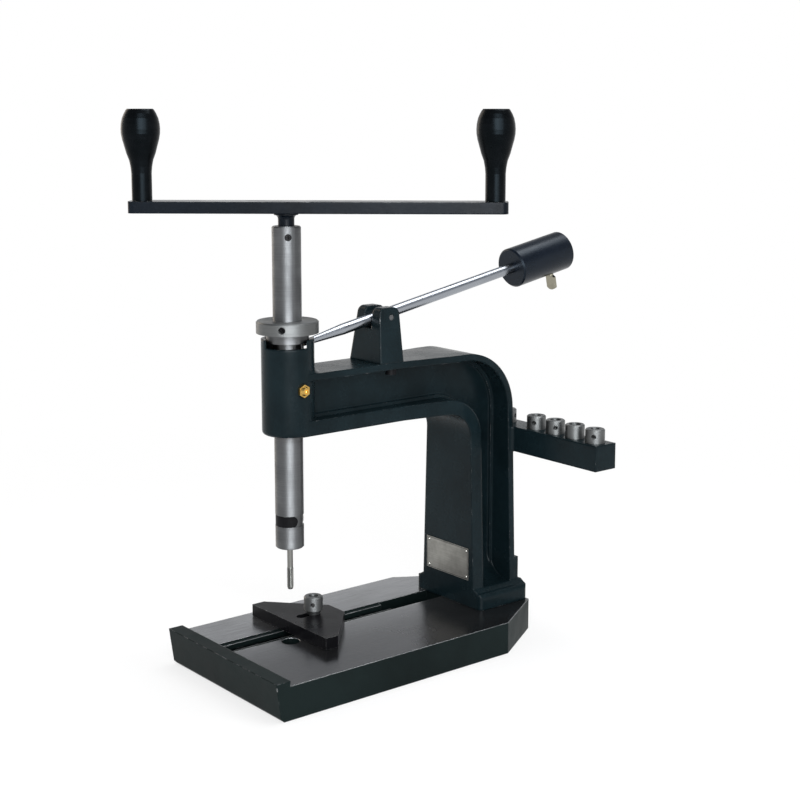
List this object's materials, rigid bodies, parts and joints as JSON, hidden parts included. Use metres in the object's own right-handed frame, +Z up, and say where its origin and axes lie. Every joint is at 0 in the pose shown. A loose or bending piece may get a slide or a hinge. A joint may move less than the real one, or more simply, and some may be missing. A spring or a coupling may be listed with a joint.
{
  "type": "manual tapping machine",
  "caption": "Bench tapping machine: cast C-frame on a slotted base, hand-cranked vertical spindle in a quick-change nose, weighted balance lever, work stop and socket rack.",
  "frame": {"origin": "where the spindle axis, which is also the axis of the through hole in the base, meets the bench plane at the underside of the base", "axes": "+Z up along the spindle axis, -Y towards the front edge of the base, +Y towards the column, +X towards the free end of the socket rack"},
  "size_m": [0.2379, 0.4405, 0.4963],
  "materials": {
    "casting_paint": "semi-gloss dark blue-grey machine paint over cast iron",
    "base_iron": "ground top, dark painted sides",
    "black_steel": "black oxide on steel",
    "plate_metal": "brushed sheet",
    "bronze": "sintered bronze",
    "brass": "turned brass",
    "bright_steel": "ground and polished round steel",
    "lever_chrome": "chrome plated round bar",
    "weight_black": "black paint on turned steel",
    "zinc": "zinc plated",
    "turned_steel": "turned steel, lightly oiled",
    "bar_paint": "dark blue-grey paint on flat bar",
    "bakelite": "polished black bakelite",
    "tool_steel": "ground high speed steel",
    "stop_black": "black oxide on milled steel, edges worn bright"
  },
  "bodies": {
    "frame": {"base_plate": "base_iron", "frame_casting": "casting_paint", "column_bolts": "black_steel", "name_plate": "plate_metal", "plate_rivets": "plate_metal", "upper_bush": "bronze", "lower_bush": "bronze", "ball_oiler": "brass", "lever_post": "casting_paint", "post_screws": "black_steel", "pivot_pin": "bright_steel", "spare_socket_1": "turned_steel", "spare_socket_2": "turned_steel", "spare_socket_3": "turned_steel", "spare_socket_4": "turned_steel", "spare_socket_5": "turned_steel", "spare_socket_6": "turned_steel"},
    "thrust_carrier": {"thrust_ring": "bright_steel"},
    "spindle": {"spindle": "bright_steel", "stop_collar": "turned_steel", "collar_screw": "black_steel", "crank_bar": "bar_paint", "crank_stub": "bar_paint", "stub_screw": "black_steel", "grip_bolts": "black_steel", "spring_band": "black_steel", "detent_pin": "bright_steel", "tap_socket": "turned_steel", "tap": "tool_steel"},
    "lever": {"balance_lever": "lever_chrome"},
    "counterweight": {"counterweight": "weight_black", "thumb_screw": "zinc"},
    "long_grip": {"long_grip": "bakelite"},
    "short_grip": {"short_grip": "bakelite"},
    "nut": {"slot_nut": "black_steel"},
    "stop": {"work_stop": "stop_black"},
    "clamp": {"clamp_screw": "turned_steel"}
  },
  "joints": [
    {"name": "spindle_lift", "type": "slide", "parent": "frame", "child": "thrust_carrier", "axis": [0, 0, 1], "range_m": [-0.003, 0.03]},
    {"name": "spindle_turn", "type": "hinge", "parent": "thrust_carrier", "child": "spindle", "pos_m": [0, 0, 0.3], "axis": [0, 0, 1], "continuous": true},
    {"name": "lever_swing", "type": "hinge", "parent": "frame", "child": "lever", "pos_m": [0, 0.101, 0.312], "axis": [1, 0, 0], "range_deg": [-20.8, 2.3]},
    {"name": "weight_slide", "type": "slide", "parent": "lever", "child": "counterweight", "axis": [0, 0.9811, 0.1936], "range_m": [-0.055, 0.012]},
    {"name": "long_grip_turn", "type": "hinge", "parent": "spindle", "child": "long_grip", "pos_m": [0.11612, 0.13358, 0.45], "axis": [0, 0, 1], "continuous": true},
    {"name": "short_grip_turn", "type": "hinge", "parent": "spindle", "child": "short_grip", "pos_m": [-0.08037, -0.09245, 0.45], "axis": [0, 0, 1], "continuous": true},
    {"name": "nut_slide", "type": "slide", "parent": "frame", "child": "nut", "axis": [0, 1, 0], "range_m": [-0.066, 0.08]},
    {"name": "stop_slide", "type": "slide", "parent": "nut", "child": "stop", "axis": [0, 1, 0], "range_m": [0, 0.0135]},
    {"name": "clamp_turn", "type": "hinge", "parent": "nut", "child": "clamp", "pos_m": [-0.0215, 0.04, 0.04], "axis": [0, 0, 1], "continuous": true}
  ],
  "couplings": [
    {"joint": "lever_swing", "follows": "spindle_lift", "rad_per_m": -11.8}
  ]
}
